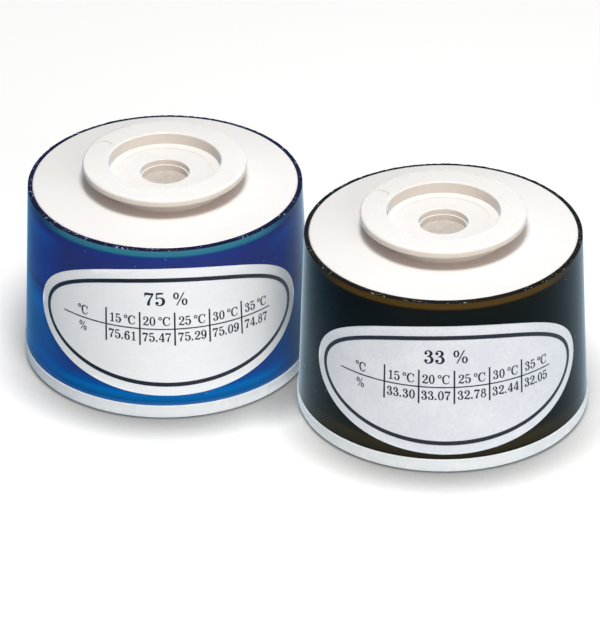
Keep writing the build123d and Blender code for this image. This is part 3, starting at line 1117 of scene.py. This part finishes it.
letters = {name: makeLetter(shape) for name, shape in letterShapes.items()}
for jar in jars:
    jacket = makeJacket(jar)
    label = makeLabel(jar, jacket)
    printing = makePrint(jar, jacket, letters)
    placePiece(jacket, jacketMaterial(jar), jar + "_jar", jar + "_jacket")
    placePiece(label, labelMaterial(jar), jar + "_jar", jar + "_label")
    placePiece(printing, ink, jar + "_jar")
    placePiece(makeDeck(jar), whiteMaterial("Deck", jar), jar + "_jar", jar + "_top_deck")
    placePiece(makeBase(jar), milky, jar + "_jar", jar + "_base_plate")
    placePiece(makeCollar(jar), whiteMaterial("Collar", jar), jar + "_collar",
               jar + "_probe_collar")
    for node, material in innerFinishes.items():
        finishNode(jar + "_" + node, material)
    print(jar, "jar made")
for letter in letters.values():
    bpy.data.objects.remove(letter)


# Floor, with the soft dark edge that the jars' feet cast on it

floorSettings = {
    "size": 8.0,
    "colour": (236, 236, 236),
    "shadowReach": 9 * mm,
    "shadowColour": (128, 128, 128),
    "shadowLean": (0.0, 0.75, 0.66),  # leans the shadow to the front of what casts it
    "lift": 0.4,  # what the camera sees on top of the lit floor
    "mirroredLeft": (0.16, 0.42, 0.66, 1.0),  # what the jackets mirror of it
    "mirroredRight": (0.7, 0.93, 1.12, 1.0),
    "mirroredFrom": -45 * mm,  # where the left's colour ends, and where the right's is full
    "mirroredTo": -15 * mm,
}


def makeFloor():
    use = floorSettings
    pickNothing()
    bpy.ops.mesh.primitive_plane_add(size=use["size"], location=(0, 0, 0))
    floor = bpy.context.object
    floor.name = "tableTop"
    material, nodes, links, shader, place = newMaterial("paleFloor")
    nearness = nodes.new("ShaderNodeAmbientOcclusion")
    nearness.inputs["Distance"].default_value = use["shadowReach"]
    nearness.samples = 8
    lean = nodes.new("ShaderNodeCombineXYZ")
    for socket, value in zip(lean.inputs, use["shadowLean"]):
        socket.default_value = value
    links.new(lean.outputs[0], nearness.inputs["Normal"])
    shade = stretchRamp(nodes, links, nearness.outputs["AO"], 0.3, 0.97)
    shaded = mixColours(nodes, links, shade, paint(*use["shadowColour"]), paint(*use["colour"]))
    across = splitVector(nodes, links, place)["X"]
    right = stretchRamp(nodes, links, across, use["mirroredFrom"], use["mirroredTo"])
    mirrored = mixColours(nodes, links, right, use["mirroredLeft"], use["mirroredRight"])
    rays = nodes.new("ShaderNodeLightPath")
    seen, glossy = rays.outputs["Is Camera Ray"], rays.outputs["Is Glossy Ray"]
    lit = mixColours(nodes, links, seen, paint(*use["colour"]), shaded)
    links.new(mixColours(nodes, links, glossy, lit, (0.0, 0.0, 0.0, 1.0)), shader.inputs["Base Color"])
    links.new(mixColours(nodes, links, glossy, shaded, mirrored), shader.inputs["Emission Color"])
    lift = mathNode(nodes, links, "MULTIPLY", seen, use["lift"])
    links.new(mathNode(nodes, links, "MAXIMUM", lift, glossy), shader.inputs["Emission Strength"])
    setInputs(shader, {"Roughness": 0.9, "Specular IOR Level": 0.0})
    floor.data.materials.append(material)


# Lights: a pale room, a soft lamp overhead and a wide, weaker one further off at the front right

lightSettings = {
    "roomColour": (0.94, 0.97, 1.0, 1.0),
    "roomLeft": 0.03,  # strength of the room's light from the left, and from the right
    "roomRight": 0.44,
    "mirrorColour": (0.8, 0.92, 1.0, 1.0),  # the room as glossy surfaces show it
    "mirrorLeft": 0.55,
    "mirrorRight": 1.0,
    "roomReach": 0.8,  # how far aside the room's left and right tones lie
    "aim": Vector((0, 0, 0.02)),
    "lamps": (
        {"name": "overhead", "place": (0.01, -0.15, 0.48), "size": 0.15, "power": 1.82,
         "colour": (1.0, 0.98, 0.96), "shine": True},
        {"name": "frontRight", "place": (0.55, -1.18, 0.45), "size": 0.7, "power": 3.7,
         "colour": (1.0, 0.99, 0.98), "shine": False},
    ),
}


def makeLights():
    use = lightSettings
    for settings in use["lamps"]:
        aim = use["aim"] - Vector(settings["place"])
        turned = aim.to_track_quat("-Z", "Y").to_euler()
        bpy.ops.object.light_add(type="AREA", location=settings["place"], rotation=turned)
        lamp = bpy.context.object
        lamp.name = settings["name"]
        lamp.data.shape = "DISK"
        lamp.data.size = settings["size"]
        lamp.data.energy = settings["power"]
        lamp.data.color = settings["colour"]
        lamp.visible_glossy = settings["shine"]
    world = bpy.data.worlds.new("paleRoom")
    bpy.context.scene.world = world
    world.use_nodes = True
    nodes, links = world.node_tree.nodes, world.node_tree.links
    background = nodes["Background"]
    aside = splitVector(nodes, links, nodes.new("ShaderNodeTexCoord").outputs["Generated"])["X"]
    reach = use["roomReach"]
    lit = stretchRamp(nodes, links, aside, -reach, reach, use["roomLeft"], use["roomRight"])
    shown = stretchRamp(nodes, links, aside, -reach, reach, use["mirrorLeft"], use["mirrorRight"])
    rays = nodes.new("ShaderNodeLightPath")
    mirrored = mathNode(
        nodes, links, "MAXIMUM", rays.outputs["Is Glossy Ray"], rays.outputs["Is Transmission Ray"])
    colour = mixColours(nodes, links, mirrored, use["roomColour"], use["mirrorColour"])
    colour = mixColours(nodes, links, rays.outputs["Is Camera Ray"], colour, (1.0, 1.0, 1.0, 1.0))
    strength = mixColours(nodes, links, mirrored, lit, shown)
    strength = mixColours(nodes, links, rays.outputs["Is Camera Ray"], strength, (1.0, 1.0, 1.0, 1.0))
    links.new(colour, background.inputs["Color"])
    links.new(strength, background.inputs["Strength"])


for piece in bpy.data.objects:  # the jars don't mirror each other, as each was photographed alone
    if piece.type == "MESH":
        piece.visible_glossy = False
makeFloor()
makeLights()
print("floor and lights made")
